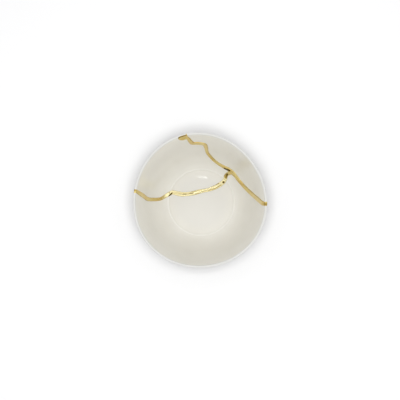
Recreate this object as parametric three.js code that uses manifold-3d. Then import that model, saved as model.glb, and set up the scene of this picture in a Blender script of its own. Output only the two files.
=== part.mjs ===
// Kintsugi tea bowl: a footed porcelain bowl, broken into three sherds and joined again by one
// raised seam of gilded lacquer that runs through the wall, over the lip and down the outside.
// Millimetres, +Z up, origin at the middle of the foot's underside.

import * as THREE from 'three';
import { mergeVertices } from 'three/addons/utils/BufferGeometryUtils.js';
import Module from 'manifold-3d';

const wasm = await Module();
wasm.setup();

const { degToRad, lerp } = THREE.MathUtils;

// The bowl
const HEIGHT = 68;
const RIM_RADIUS = 62.5;              // outside of the lip
const LIP_WALL = 2.3;                 // wall thickness at the lip
const BASE_WALL = 4.4;                // thickness at the middle of the floor
const FLOOR_Z = 10;                   // inside, at the middle
const FLOOR_DISH = 1;                 // how far the floor rises towards the edge of the well
const WELL_RADIUS = 32.2;             // the ring round the well
const WELL_STEP = 0.6;                // height of the small step at that ring
const WELL_TURN = 2;                  // width of the hollow turn at the foot of the step
const WALL_LEAVES = degToRad(22);     // slope of the wall as it leaves the well
const WALL_ARRIVES = degToRad(72);    // slope of the wall at the lip
const WALL_BELLY = 19;                // pull of the wall's curve at the well
const WALL_RISE = 26;                 // pull of the wall's curve at the lip
const TURN_SEGMENTS = 52;
const PROFILE_STEPS = { floor: 3, step: 2, wall: 10, lip: 5, outside: 7, root: 2, base: 2 };

// The foot ring
const FOOT_RADIUS = 30.5;
const FOOT_WIDTH = 4;
const FOOT_TAPER = 0.7;               // how far each side of the ring leans in
const FOOT_CHAMFER = 0.6;
const FOOT_BLEND = 1.8;               // size of the hollow turns at the root of the ring

// How far the rim is off true: a long axis, and three slight lobes
const OVAL = 0.5;
const OVAL_AZIMUTH = degToRad(-70);
const LOBES = 0.85;
const LOBE_AZIMUTH = degToRad(-20);

// The gold seam
const BEAD_RISE = 0.9;                // crest of the bead above the glaze
const SHOULDER_SIDE = 0.6;            // the bead's shoulder, as a part of its half width
const SHOULDER_RISE = 0.8;            // and as a part of its rise
const LIP_ANGLES = [20, 40, 58, 75];  // sections that carry the bead over the lip, in degrees up its curve
const LAP = 1.4;                      // how far the bead laps over the glaze on each side of a joint
const WEB = 0.8;                      // thinnest lacquer in a joint
const CLEARANCE = 0.35;               // between lacquer and sherds
const STATION_STEP = 3.4;             // spacing of sections along a seam
const JUNCTION_LAP = 1;               // how far each seam runs past the junction
const LEAN_SPAN = 6;                  // a joint's lean follows the wall over this much to each side
const CUT_MARGIN = 4;                 // how far a cut runs past the surface it goes through
const FOOT_REACH = 12;                // depth that takes a joint down through the foot ring
const WELD = 1e-4;                    // corners closer than this are one corner

// Seams as seen from above: x, y and the width of the bead
const JUNCTION = [29.8, 29.3, 4.2];
const TOP_SEAM = [
  JUNCTION, [23.4, 33.5, 2.9], [16.5, 37.5, 2.8], [10, 43.2, 2.8], [6.2, 48, 2.8], [5.8, 50.5, 3],
  [4.2, 53.5, 2.7], [0, 54.1, 2.8], [-5.5, 54.1, 3.9], [-8.5, 54.7, 3.4], [-10.2, 56.3, 4], [-14.6, 59, 9],
];
const RIGHT_SEAM = [
  JUNCTION, [34.8, 23.6, 2.8], [40, 17.2, 3], [46.5, 10, 3.7], [52.4, 4, 3.5], [57.5, -1.3, 4],
  [60, -3.2, 4],
];
const LEFT_SEAM = [
  JUNCTION, [26.5, 27.7, 3.2], [24.2, 25.8, 2.8], [24, 23, 2.5], [22.3, 20.3, 4.4], [17.8, 16.6, 3.6],
  [12.3, 13.6, 3.3], [6.5, 12.1, 2.9], [-2, 10.6, 3], [-9, 8.9, 3.9], [-17, 8.2, 4.1], [-23.5, 9.5, 4.4],
  [-28.5, 9.9, 3.6], [-31.5, 8.5, 3.6], [-38, 3.8, 3.4], [-42, 2.6, 3.1], [-49, 2.2, 3.2],
  [-52, 3.3, 3.7], [-54, 5.5, 4], [-57.2, 7.8, 3.4], [-59.2, 9.6, 3.6],
];

// The inside of the bowl as a curve of radius and height, from the middle of the floor to the lip
const along = (angle, length) => new THREE.Vector2(Math.cos(angle), Math.sin(angle)).multiplyScalar(length);
const acrossLip = along(WALL_ARRIVES - Math.PI / 2, LIP_WALL / 2);
const lipCentre = new THREE.Vector2(RIM_RADIUS - LIP_WALL / 2, HEIGHT - LIP_WALL / 2);
const innerLip = lipCentre.clone().sub(acrossLip);
const wellEdge = new THREE.Vector2(WELL_RADIUS, FLOOR_Z + FLOOR_DISH + WELL_STEP);
const floorEdge = new THREE.Vector2(WELL_RADIUS - WELL_TURN, FLOOR_Z + FLOOR_DISH);

const floorCurve = new THREE.QuadraticBezierCurve(
  new THREE.Vector2(0, FLOOR_Z),
  new THREE.Vector2(floorEdge.x / 2, FLOOR_Z),
  floorEdge,
);
const stepCurve = new THREE.QuadraticBezierCurve(
  floorEdge,
  new THREE.Vector2(wellEdge.x - WELL_TURN / 4, floorEdge.y),
  wellEdge,
);
const wallCurve = new THREE.CubicBezierCurve(
  wellEdge,
  wellEdge.clone().add(along(WALL_LEAVES, WALL_BELLY)),
  innerLip.clone().sub(along(WALL_ARRIVES, WALL_RISE)),
  innerLip,
);
const pastLip = new THREE.LineCurve(innerLip, innerLip.clone().add(along(WALL_ARRIVES, 2 * CUT_MARGIN)));

const inside = new THREE.CurvePath();
[floorCurve, stepCurve, wallCurve, pastLip].forEach((curve) => inside.add(curve));
const insideLength = inside.getLength();
const lipArc = insideLength - 2 * CUT_MARGIN;
const wallThickness = (arc) => lerp(BASE_WALL, LIP_WALL, Math.min(arc / lipArc, 1));

// Radius and height at a distance along the inside; the far side of the middle is the mirror image
function insideAt(arc) {
  const point = inside.getPoint(Math.min(Math.abs(arc) / insideLength, 1));
  return point.setX(point.x * (arc < 0 ? -1 : 1));
}

// Outward direction of the wall in its profile, smoothed over the small step of the well
function outward(arc) {
  const slope = insideAt(arc + LEAN_SPAN).sub(insideAt(arc - LEAN_SPAN)).normalize();
  return new THREE.Vector2(slope.y, -slope.x);
}

// Distance up the inside of the wall at a radius
function arcAt(radius) {
  let low = 0;
  let high = insideLength;
  while (high - low > WELD) {
    const middle = (low + high) / 2;
    if (insideAt(middle).x < radius) low = middle;
    else high = middle;
  }
  return low;
}

// A point of the profile at a depth into the wall, and the face of the wall behind it
const wallPoint = (arc, depth) => insideAt(arc).add(outward(arc).multiplyScalar(depth));
const outsideAt = (arc) => wallPoint(arc, wallThickness(arc));

// Points of the outside from one place along the wall to another, without the first
function outsideRun(from, to, steps) {
  return Array.from({ length: steps }, (_, i) => outsideAt(lerp(from, to, (i + 1) / steps)));
}

// The whole outline of the bowl in section: floor, wall, lip, outside and foot ring
function bowlProfile() {
  const wellArc = floorCurve.getLength() + stepCurve.getLength();
  const outside = outsideRun(lipArc, wellArc, PROFILE_STEPS.outside);
  const lip = new THREE.EllipseCurve(
    lipCentre.x, lipCentre.y, LIP_WALL / 2, LIP_WALL / 2,
    WALL_ARRIVES + Math.PI / 2, WALL_ARRIVES - Math.PI / 2, true,
  );
  const shoulder = outside.at(-1);
  const footInner = FOOT_RADIUS - FOOT_WIDTH;
  const outerRoot = new THREE.QuadraticBezierCurve(
    shoulder,
    new THREE.Vector2(FOOT_RADIUS + FOOT_TAPER, shoulder.y - FOOT_TAPER),
    new THREE.Vector2(FOOT_RADIUS + FOOT_TAPER / 2, shoulder.y - FOOT_BLEND - FOOT_TAPER),
  );
  const baseArc = footInner - FOOT_TAPER - FOOT_BLEND;
  const baseEdge = outsideAt(baseArc);
  const innerRoot = new THREE.QuadraticBezierCurve(
    new THREE.Vector2(footInner - FOOT_TAPER / 2, baseEdge.y - FOOT_BLEND),
    new THREE.Vector2(footInner - FOOT_TAPER, baseEdge.y),
    baseEdge,
  );
  const foot = [
    [FOOT_RADIUS, FOOT_CHAMFER], [FOOT_RADIUS - FOOT_CHAMFER, 0],
    [footInner + FOOT_CHAMFER, 0], [footInner, FOOT_CHAMFER],
  ].map(([radius, z]) => new THREE.Vector2(radius, z));
  return [
    ...floorCurve.getPoints(PROFILE_STEPS.floor),
    ...stepCurve.getPoints(PROFILE_STEPS.step).slice(1),
    ...wallCurve.getPoints(PROFILE_STEPS.wall).slice(1),
    ...lip.getPoints(PROFILE_STEPS.lip).slice(1),
    ...outside,
    ...outerRoot.getPoints(PROFILE_STEPS.root).slice(1),
    ...foot,
    ...innerRoot.getPoints(PROFILE_STEPS.root),
    ...outsideRun(baseArc, 0, PROFILE_STEPS.base),
  ];
}

// The same outline drawn in by an amount all round
function drawnIn(profile, amount) {
  return profile.map((point, i) => {
    if (point.x === 0) return new THREE.Vector2(0, point.y + (i === 0 ? -amount : amount));
    const before = point.clone().sub(profile[i - 1]).normalize();
    const after = profile[i + 1].clone().sub(point).normalize();
    const slope = before.clone().add(after).normalize();
    const miter = amount / slope.dot(before);
    return new THREE.Vector2(point.x + slope.y * miter, point.y - slope.x * miter);
  });
}

// A closed geometry as a solid that can be joined and cut
function solid(geometry) {
  geometry.deleteAttribute('normal');
  geometry.deleteAttribute('uv');
  const merged = mergeVertices(geometry, WELD);
  const triangles = [];
  for (let i = 0; i < merged.index.count; i += 3) {
    const [a, b, c] = [0, 1, 2].map((k) => merged.index.getX(i + k));
    if (a !== b && b !== c && c !== a) triangles.push(a, b, c);
  }
  return new wasm.Manifold(new wasm.Mesh({
    numProp: 3,
    vertProperties: merged.attributes.position.array,
    triVerts: new Uint32Array(triangles),
  }));
}

function turned(profile) {
  const upright = [...profile].reverse();
  return solid(new THREE.LatheGeometry(upright, TURN_SEGMENTS).rotateX(Math.PI / 2));
}

// Sections along a seam, from the junction to the lip: how far up the wall each stands, its azimuth,
// the bead's width, and which way is sideways. The path is smoothed on the wall rolled out flat.
function stations(seam) {
  const flat = seam.map(([x, y, width]) => {
    const radius = Math.hypot(x, y);
    const arc = Math.min(arcAt(radius), lipArc);
    return new THREE.Vector3(x, y, 0).multiplyScalar(arc / radius).setZ(width);
  });
  const start = flat[0];
  const backwards = start.clone().sub(flat[1]).setZ(0).setLength(JUNCTION_LAP);
  flat.unshift(start.clone().add(backwards));
  const curve = new THREE.CatmullRomCurve3(flat, false, 'centripetal');
  const places = curve.getSpacedPoints(Math.round(curve.getLength() / STATION_STEP))
    .map(({ x, y, z: width }) => ({ arc: Math.hypot(x, y), azimuth: Math.atan2(y, x), width }));
  return places.map((place, i) => {
    const back = places[Math.max(i - 1, 0)];
    const ahead = places[Math.min(i + 1, places.length - 1)];
    const turn = Math.atan2(Math.sin(ahead.azimuth - back.azimuth), Math.cos(ahead.azimuth - back.azimuth));
    const heading = new THREE.Vector2(ahead.arc - back.arc, turn * insideAt(place.arc).x).normalize();
    return { ...place, heading };
  });
}

// More sections at the end of a seam, straight up past the lip by the amounts given
function pastTheLip(places, amounts) {
  const end = places.at(-1);
  const up = new THREE.Vector2(1, 0);
  return [...places, ...amounts.map((amount) => ({ ...end, arc: lipArc + amount, heading: up }))];
}

// One more section at the start of a seam, behind the junction
function behindTheJunction(places, amount) {
  const { arc, azimuth, heading, ...rest } = places[0];
  const behind = {
    ...rest,
    heading,
    arc: arc - heading.x * amount,
    azimuth: azimuth - (heading.y * amount) / insideAt(arc).x,
  };
  return [behind, ...places];
}

// A point beside a section, at a depth into the wall
function placed({ arc, azimuth, heading }, sideways, depth) {
  const besideArc = arc - heading.y * sideways;
  const besideAzimuth = azimuth + (heading.x * sideways) / insideAt(arc).x;
  const { x: radius, y: z } = wallPoint(besideArc, depth);
  return new THREE.Vector3(radius * Math.cos(besideAzimuth), radius * Math.sin(besideAzimuth), z);
}

// A closed solid through a row of sections; each section is a ring of [sideways, depth] corners
function sweep(places, section) {
  const rings = places.map(section);
  const corners = rings[0].length;
  const last = (rings.length - 1) * corners;
  const triangles = [];
  for (let start = 0; start < last; start += corners) {
    for (let j = 0; j < corners; j += 1) {
      const a = start + j;
      const b = start + ((j + 1) % corners);
      triangles.push(a, b + corners, b, a, a + corners, b + corners);
    }
  }
  const outline = (ring) => ring.map(([sideways, depth]) => new THREE.Vector2(sideways, depth));
  const cap = (ring) => THREE.ShapeUtils.triangulateShape(outline(ring), []);
  cap(rings[0]).forEach(([a, b, c]) => triangles.push(a, b, c));
  cap(rings.at(-1)).forEach(([a, b, c]) => triangles.push(last + a, last + c, last + b));
  const inPlace = (ring, i) => ring.map(([sideways, depth]) => placed(places[i], sideways, depth));
  const points = rings.flatMap(inPlace);
  return solid(new THREE.BufferGeometry().setFromPoints(points).setIndex(triangles));
}

// Half the depth of a section that stands proud of both faces of the wall and closes over the lip
function halfDepth(arc, rise) {
  const half = wallThickness(arc) / 2 + rise;
  const over = Math.max(arc - lipArc, 0);
  return Math.sqrt(Math.max(half * half - over * over, 0));
}

const webHalf = (width) => Math.max(WEB / 2, width / 2 - LAP);

// Lacquer through the joint with a low crowned bead on each face. The outside bead stops at the foot ring.
function seamSection({ arc, width }) {
  const middle = wallThickness(arc) / 2;
  const under = halfDepth(arc, CLEARANCE);
  const crest = halfDepth(arc, BEAD_RISE);
  const shoulder = lerp(under, crest, SHOULDER_RISE);
  const bead = width / 2;
  const web = under > 0 ? webHalf(width) : bead;
  const atFoot = Math.abs(insideAt(arc).x - FOOT_RADIUS + FOOT_WIDTH / 2) < FOOT_WIDTH + LEAN_SPAN / 2;
  const outerBead = atFoot ? web : bead;
  const face = (side, half) => [
    [-half, side * under], [-half * SHOULDER_SIDE, side * shoulder], [0, side * crest],
    [half * SHOULDER_SIDE, side * shoulder], [half, side * under],
  ];
  const ring = [
    ...face(-1, bead), [web, -under], [web, under],
    ...face(1, outerBead).reverse(), [-web, under], [-web, -under],
  ];
  return ring.map(([sideways, depth]) => [sideways, middle + depth]);
}

// A plain slab along the joint, between two depths measured from the middle of the wall
const slabSection = (extraWidth, from, to) => ({ arc, width }) => {
  const middle = wallThickness(arc) / 2;
  const side = webHalf(width) + extraWidth;
  return [[-side, middle + from], [side, middle + from], [side, middle + to], [-side, middle + to]];
};

const joined = (solids) => solids.reduce((sum, next) => sum.add(next));

const profile = bowlProfile();
const seamPaths = [TOP_SEAM, RIGHT_SEAM, LEFT_SEAM].map(stations);

// Sherds, largest first: the bowl cut through along every seam
function sherds() {
  const cuts = seamPaths.map((path) => sweep(
    behindTheJunction(pastTheLip(path, [CUT_MARGIN]), 2 * CLEARANCE),
    slabSection(CLEARANCE, -CUT_MARGIN, FOOT_REACH),
  ));
  const pieces = turned(profile).subtract(joined(cuts)).decompose();
  return pieces.sort((a, b) => b.volume() - a.volume());
}

// Gold: the seams, with the lacquer that fills the joint through the foot ring
function goldSeam() {
  const lipReach = LIP_WALL / 2 + BEAD_RISE;
  const overLip = LIP_ANGLES.map((angle) => lipReach * Math.sin(degToRad(angle)));
  const seams = seamPaths.map((path) => sweep(pastTheLip(path, overLip), seamSection));
  const underBowl = seamPaths.at(-1).filter(({ arc }) => insideAt(arc).x < FOOT_RADIUS + FOOT_WIDTH);
  const footFill = sweep(underBowl, slabSection(-CLEARANCE / 2, 0, FOOT_REACH))
    .intersect(turned(drawnIn(profile, CLEARANCE)));
  return joined([...seams, footFill]);
}

// The rim eased off true, fading towards the foot
function offTrue(geometry) {
  const position = geometry.attributes.position;
  for (let i = 0; i < position.count; i += 1) {
    const [x, y, z] = [position.getX(i), position.getY(i), position.getZ(i)];
    const azimuth = Math.atan2(y, x);
    const oval = OVAL * Math.cos(2 * (azimuth - OVAL_AZIMUTH));
    const lobes = LOBES * Math.cos(3 * (azimuth - LOBE_AZIMUTH));
    const scale = 1 + ((oval + lobes) / RIM_RADIUS) * (z / HEIGHT) ** 2;
    position.setXYZ(i, x * scale, y * scale, z);
  }
  return geometry;
}

function mesh(name, shape, material) {
  const { vertProperties, triVerts, numProp } = shape.getMesh();
  const geometry = new THREE.BufferGeometry();
  geometry.setAttribute('position', new THREE.BufferAttribute(vertProperties, numProp));
  geometry.setIndex(new THREE.BufferAttribute(triVerts, 1));
  offTrue(geometry).computeVertexNormals();
  const made = new THREE.Mesh(geometry, material);
  made.name = name;
  return made;
}

const porcelain = new THREE.MeshStandardMaterial({ color: 0xdcd9d0, roughness: 0.15, metalness: 0 });
const gold = new THREE.MeshStandardMaterial({ color: 0xd8b25a, roughness: 0.25, metalness: 1 });

const bowl = new THREE.Group();
const [lower, upperLeft, upperRight] = sherds();
bowl.add(
  mesh('sherd_lower', lower, porcelain),
  mesh('sherd_upper_left', upperLeft, porcelain),
  mesh('sherd_upper_right', upperRight, porcelain),
  mesh('gold_seam', goldSeam(), gold),
);

export default bowl;
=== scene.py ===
"""Kintsugi tea bowl: three sherds of glazed porcelain, joined by one raised seam of gilded lacquer.

Metres, +Z up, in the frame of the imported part. The seams are laid out as they show from above.
"""

import math

import bmesh
import bpy
import numpy as np
from mathutils import Matrix, Vector


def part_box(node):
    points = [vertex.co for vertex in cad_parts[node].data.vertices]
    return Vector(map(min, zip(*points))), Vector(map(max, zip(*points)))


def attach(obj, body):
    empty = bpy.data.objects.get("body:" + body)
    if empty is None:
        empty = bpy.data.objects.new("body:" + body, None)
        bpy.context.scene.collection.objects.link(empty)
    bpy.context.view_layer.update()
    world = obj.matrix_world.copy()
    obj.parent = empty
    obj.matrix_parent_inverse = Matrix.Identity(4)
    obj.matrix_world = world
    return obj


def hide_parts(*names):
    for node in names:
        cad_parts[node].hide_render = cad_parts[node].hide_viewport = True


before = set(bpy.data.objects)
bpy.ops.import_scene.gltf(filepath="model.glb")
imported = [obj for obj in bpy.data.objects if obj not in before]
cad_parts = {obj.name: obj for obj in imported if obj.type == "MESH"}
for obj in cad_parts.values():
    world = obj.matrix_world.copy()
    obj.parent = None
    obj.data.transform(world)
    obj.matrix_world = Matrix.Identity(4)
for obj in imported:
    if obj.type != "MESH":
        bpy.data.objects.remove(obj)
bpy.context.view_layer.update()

MM = 0.001
SEED = 7
WELD = 0.001 * MM  # corners nearer than this become one
AXIS_WELD = 2 * WELD  # the same, on the thrown bowl's axis

# The turned bowl
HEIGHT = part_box("sherd_lower")[1].z
RIM_RADIUS = 62.5 * MM  # outside of the lip
LIP_WALL = 2.3 * MM  # wall thickness at the lip
BASE_WALL = 4.4 * MM  # thickness at the middle of the floor
FLOOR_Z = 10 * MM  # inside, at the middle
FLOOR_DISH = 1 * MM  # how far the floor rises towards the edge of the well
WELL_RADIUS = 32.2 * MM  # the ring round the well
WELL_STEP = 0.6 * MM  # height of the small step at that ring
WELL_TURN = 2 * MM  # width of the hollow turn at the foot of the step
STEP_ROUNDING = 0.6 * MM  # how far the glaze softens the top of the step
WALL_LEAVES = math.radians(22)  # slope of the wall as it leaves the well
WALL_ARRIVES = math.radians(72)  # slope of the wall at the lip
WALL_BELLY = 19 * MM  # pull of the wall's curve at the well
WALL_RISE = 26 * MM  # pull of the wall's curve at the lip
LEAN_SPAN = 6 * MM  # the outside follows the inside's lean over this much to each side
TURN_SEGMENTS = 300
UNEVENNESS = 0.06 * MM  # height of the slight waves that throwing and glazing leave
WAVE_SIZE = 24 * MM
WAVES_START = 2 * MM  # the foot below this height stays true
WAVES_FULL = 6 * MM
NORMAL_SPAN = 0.8 * MM  # the surface's direction is taken over this much to each side
SIGHT_ROUNDS = 4  # rounds in which the place seen from above is found
SHERD_CREASE = math.radians(35)  # sharper edges than this stay sharp on the sherds

# Points along each run of the bowl's section
FLOOR_POINTS = 26
TURN_POINTS = 9
CREST_POINTS = 7
WALL_POINTS = 64
LIP_POINTS = 17
OUTSIDE_POINTS = 60
BASE_POINTS = 22
ROOT_POINTS = 10
FOOT_POINTS = 6
FOOT_INNER_POINTS = 5

# The foot ring
FOOT_RADIUS = 30.5 * MM
FOOT_WIDTH = 4 * MM
FOOT_TAPER = 0.7 * MM  # how far each side of the ring leans in
FOOT_EDGE = 0.6 * MM  # rounding of its lower edges
FOOT_BLEND = 1.8 * MM  # size of the hollow turns at its root

# How far the rim is off true: a long axis, and three slight lobes
OVAL = 0.5 * MM
OVAL_AZIMUTH = math.radians(-70)
LOBES = 0.85 * MM
LOBE_AZIMUTH = math.radians(-20)

# The gold seam
BEAD_RISE = 0.85 * MM  # crest of the bead above the glaze
BEAD_SHOULDER = (0.08, 0.65)  # sines of the angle round it where its shoulders start and end
BEAD_BURIED = 0.35 * MM  # its underside, below the glaze
BEAD_SIDES = 36
BEAD_STEP = 0.35 * MM  # spacing of its sections
BEAD_CREASE = math.radians(50)  # sharper edges than this stay sharp on the gold
STRAND_DEPTH = 0.16 * MM  # strokes that the brush leaves along the bead
STRAND_LENGTH = 11 * MM
STRANDS = 1.6  # strokes across half the bead
STRAND_LANE = 20.0  # lane of the noise that the strokes take
EDGE_WANDER = 0.14  # how much each edge strays, as a part of the half width
WANDER_LENGTH = 4 * MM
EDGE_LANE = 3.3  # lanes of the noise that the two edges take, to each side of 0
ROUTE_STEP = 0.5 * MM
LIP_STEPS = 11  # points of a route over the lip
CORNER_SOFTENING = 0.6 * MM
CRACK = 0.6 * MM  # gap between two sherds
CUT_PAST_FACES = 1.5 * MM  # the cut between them starts this far off the wall's faces
CUT_PAST_LIP = 5 * MM
FILL = 0.5 * MM  # lacquer in that gap
OUTSIDE_WIDTH = 0.9  # the bead outside, as a part of its width inside
OUTSIDE_EASING = 1.6 * MM  # the line outside is smoother than the one inside
FOOT_CLEARANCE = 0.15 * MM  # the seam is ground off this far above the table
JUNCTION_LAP = 1.2 * MM  # each joint runs this far past the junction
LEAST_SHOWN = 0.7  # a lean that shows less of the bead's width than this isn't made up for
EVENING_TAIL = 3  # evening takes in this many of its lengths to each side
WIDTH_EVENING = 3 * MM  # its width changes no faster than over about this length
LIP_FADE = 6 * MM  # the bead thins towards the lip over this much

# Seams as they show from above, in millimetres: x, y and the width of the bead
JUNCTION = (29.8, 29.3, 4.0)
TOP_SEAM = [
    JUNCTION, (26.3, 32.2, 3.0), (23.4, 33.5, 2.6), (16.7, 37.4, 2.4), (13.2, 40.1, 2.4),
    (10.1, 43.1, 2.5), (7.0, 46.4, 2.6), (5.8, 48.8, 2.7), (5.6, 51.0, 2.9), (4.7, 53.8, 3.6),
    (2.9, 54.5, 4.3), (-0.6, 55.0, 4.4), (-3.9, 55.1, 4.4), (-5.4, 54.9, 4.0), (-6.9, 54.8, 3.4),
    (-8.2, 55.4, 3.1), (-9.6, 57.0, 3.1), (-11.1, 58.7, 3.1), (-12.2, 60.4, 3.0),
]
RIGHT_SEAM = [
    JUNCTION, (32.5, 26.6, 3.3), (34.8, 23.6, 3.2), (37.1, 20.6, 3.1), (39.9, 17.2, 3.2),
    (43.1, 13.6, 3.3), (46.5, 10.1, 3.4), (49.6, 6.9, 3.3), (52.4, 4.0, 3.4), (55.3, 1.1, 3.6),
    (57.8, -1.6, 3.8), (60.7, -3.2, 3.8),
]
LEFT_SEAM = [
    JUNCTION, (27.1, 27.9, 3.6), (24.9, 27.0, 3.8), (23.6, 24.8, 3.6), (23.7, 22.8, 2.9),
    (21.6, 19.6, 5.0), (18.8, 17.5, 4.3), (16.3, 15.9, 4.1), (13.8, 14.7, 4.3), (11.4, 13.7, 4.4),
    (9.0, 12.7, 3.8), (6.6, 12.0, 3.4), (-0.7, 10.7, 3.9), (-8.1, 8.8, 4.5), (-12.9, 8.0, 3.9),
    (-18.8, 7.8, 4.6), (-23.6, 8.6, 4.8), (-27.0, 9.5, 4.0), (-28.9, 9.7, 3.8), (-31.2, 8.1, 4.6),
    (-34.0, 6.6, 3.4), (-35.8, 5.4, 2.9), (-38.1, 3.7, 3.1), (-40.5, 2.8, 3.3), (-43.5, 2.5, 3.3),
    (-49.2, 2.2, 3.5), (-51.7, 3.0, 3.7), (-53.3, 4.8, 3.8), (-55.4, 6.5, 3.5), (-57.2, 7.8, 3.2),
    (-60.2, 10.6, 3.2),
]

# The chip in the lip that the gold fills: azimuth in degrees, then in millimetres along the section
# its depth below the lip inside, and how far it reaches over the lip from there
CHIP = [
    (109.2, 2.0, 1.0), (108.2, 5.5, 1.8), (106.0, 8.0, 2.1), (104.0, 8.4, 2.1),
    (102.2, 8.0, 2.1), (101.2, 7.6, 2.0), (100.0, 4.5, 1.5),
]
CHIP_RISE = 0.35 * MM  # rise of the fill from its edge to its middle
CHIP_EDGE = 1.4 * MM  # width of its rounded edge
CHIP_SUNK = 0.15 * MM  # how far its edge starts below the glaze
CHIP_DIP = 0.25 * MM  # how far the fill stays below the lip's crest
CHIP_BED = 1 * MM  # how far the fill goes into the wall
CHIP_LAP = 0.7 * MM  # how far the fill laps over the chip's edge
CHIP_CLEAR = 2 * MM  # the cut for the chip starts this far off the wall
CHIP_LEAST = 0.4 * MM  # shortest run of the chip over the lip
CHIP_COLUMNS = 28
CHIP_ROWS = 44

# Painted shade and dark reflections on the bead, in millimetres from above:
# from x, y to x, y, then the half width, and how dark
PAINTED_DARK_LINES = [
    (22.6, 32.4, 27.8, 30.4, 0.75, 1.0), (25.4, 27.0, 25.1, 26.0, 0.7, 1.0),
    (25.2, 27.0, 24.2, 23.8, 1.0, 0.65), (22.9, 27.2, 23.4, 24.4, 0.9, 0.5),
    (21.8, 19.4, 21.7, 19.5, 1.0, 1.0), (10.2, 15.5, 17.2, 18.4, 0.4, 0.6),
    (1.0, 13.0, 8.0, 14.0, 0.3, 0.3), (0.4, 10.4, 7.4, 11.5, 0.35, 0.4),
    (7.4, 11.5, 13.5, 13.4, 0.4, 0.55), (13.5, 13.4, 19.4, 16.9, 0.4, 0.55),
    (-31.7, 5.5, -28.4, 9.1, 0.6, 1.0), (-27.5, 9.2, -18.0, 8.2, 0.9, 0.28),
    (-18.0, 8.2, -11.0, 8.3, 0.7, 0.28), (-17.8, 7.9, -14.7, 7.9, 0.35, 0.8),
    (-11.2, 8.7, -7.6, 9.0, 0.35, 0.8), (-9.3, 10.2, 0.4, 11.8, 0.35, 0.4),
    (-5.6, 7.9, -1.0, 9.1, 0.35, 0.45), (-20.0, 58.6, -12.2, 61.2, 0.4, 0.85),
    (-20.6, 58.0, -19.6, 58.3, 0.7, 0.6), (60.8, -3.2, 64.0, -3.4, 1.6, 0.5),
    (-60.2, 10.4, -63.0, 11.0, 1.6, 0.5),
]
DARK_LINE_FADE = 1.5  # a spot has faded out at this many times its half width

# The glaze. An edge is where a change begins and where it ends
GLAZE_TONES = ((0.685, 0.668, 0.612, 1), (0.71, 0.694, 0.64, 1))
GLAZE_CLOUDS = 26 * MM
GLAZE_GLOSS = (0.025, 0.04)
GLOSS_PATCHES = 9 * MM
DULLER_HEIGHTS = (16 * MM, 34 * MM)  # the wall's gloss falls off between these
DULLING = 0.15
GLAZE_RIPPLES = 6 * MM
GLAZE_BUMP = 0.01
GLAZE_IOR = 1.5
RING_INSIDE = (9.5 * MM, 10.5 * MM)  # heights that only the inside reaches near the ring
# Painted shade: the hollow turn at the foot of the well's step is painted darker
RECESS_SHADE = (0.50, 0.485, 0.415, 1)
RECESS_SHADE_EDGES = ((-2.4, -1), (-0.9, -0.2))  # in millimetres out from the ring round the well
RECESS_SHADE_SHARE = 0.12
# Painted highlight: the crest of the ring round the well is painted lighter
LIT_CREST = (0.80, 0.79, 0.75, 1)
LIT_CREST_EDGES = ((-0.9, -0.3), (0.3, 0.9))
LIT_CREST_SHARE = 0.6
WELL_INSIDE = (9 * MM, 9.6 * MM)  # heights that only the inside reaches in the well
# Painted shade: the well's floor is painted darker and greyer, fading out towards its edge
SHADED_WELL_TONE = (0.648, 0.638, 0.605, 1)
WELL_SHADE_EDGE = (20 * MM, 31 * MM)
WELL_SHADE_SHARE = 0.6
# Painted shade: the top of the lip is painted darker and greyer
SHADED_LIP = (0.58, 0.58, 0.56, 1)
LIP_SHADE_EDGE = (HEIGHT - 1.4 * MM, HEIGHT - 0.4 * MM)
LIP_SHADE_SHARE = 0.9

# The bare foot
BISCUIT_TONES = ((0.52, 0.46, 0.37, 1), (0.63, 0.58, 0.49, 1))
BISCUIT_GRAIN = 0.5 * MM
BISCUIT_BUMP = 0.5
BISCUIT_ROUGHNESS = 0.8
WIPED_EDGE = (1.35 * MM, 1.55 * MM)
WIPE_WANDER = 1.2 * MM
WIPE_LENGTH = 5 * MM

# The gold
GOLD_TONES = ((0.74, 0.615, 0.268, 1), (0.71, 0.53, 0.2, 1))
GOLD_PATCHES = 7 * MM
GOLD_GLOSS = (0.07, 0.16)
GOLD_GLOSS_PATCHES = 3 * MM
GOLD_RIPPLES = 1.4 * MM
GOLD_BUMP = 0.1
# Painted highlight: the gold in and just above the well is painted paler, as a sheen
WELL_GOLD_SHEEN = (0.81, 0.73, 0.43, 1)
WELL_SHEEN_EDGES = ((9 * MM, 10 * MM), (12 * MM, 18 * MM))  # heights: in the well and just above it
# Painted shade on the bead: brown where a line is marked lightly, near black where it is marked fully
SHADED_GOLD = (0.4, 0.275, 0.06, 1)
SHADED_GOLD_EDGE = (0.0, 0.6)
PAINTED_SHADOW = (0.06, 0.036, 0.004, 1)
PAINTED_SHADOW_EDGE = (0.4, 1.0)

BUMP_HEIGHT = 0.1 * MM
SOFT, USUAL, FINE = 1.0, 2.0, 3.0  # detail of a noise
NOISE_SPAN = (0.3, 0.7)  # most of a noise lies between these
GRAIN_SPAN = (0.35, 0.7)
PATCH_SPAN = (0.35, 0.68)

# The floor
FLOOR_TONES = ((0.455, 0.455, 0.46, 1), (0.465, 0.465, 0.465, 1))
FLOOR_CLOUDS = 0.2
FLOOR_ROUGHNESS = 0.7
FLOOR_REACH = 6.0  # from the middle to each side

# The camera: straight above, and leaning a little to the right and front
PHOTO_SIZE = 400
PIXEL = 0.9267 * MM  # at the level of the rim
RIM_PIXEL = (199.5, 200.8)  # where the middle of the rim shows
CAMERA_HEIGHT = 1.1  # above the rim
CAMERA_LEAN = math.radians(2.2)
CAMERA_AZIMUTH = math.radians(-41)
SENSOR = 36.0  # width, in millimetres as Blender gives it

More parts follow.
